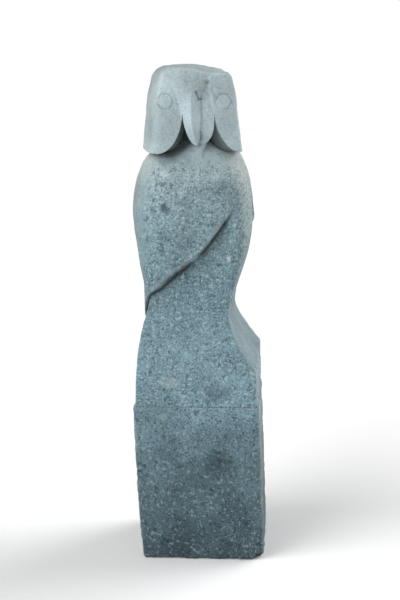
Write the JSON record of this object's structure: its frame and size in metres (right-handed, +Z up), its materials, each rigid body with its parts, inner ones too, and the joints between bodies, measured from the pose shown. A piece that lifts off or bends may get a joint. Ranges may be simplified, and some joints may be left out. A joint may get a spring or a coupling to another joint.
{
  "type": "cockatoo sculpture",
  "caption": "Carved stone cockatoo with a turned square head, folded wings and a hollowed foot, on a squared stone plinth.",
  "frame": {"origin": "centre of the plinth's underside", "axes": "+Z up, +X towards the breast and the scooped foot, -Y towards the side the head is turned to face"},
  "size_m": [0.2669, 0.2395, 0.9962],
  "materials": {
    "bird_stone": "rubbed, speckled grey-green",
    "plinth_stone": "rough dressed, darker grey"
  },
  "bodies": {
    "root": {"cockatoo": "bird_stone", "plinth": "plinth_stone"}
  },
  "joints": []
}
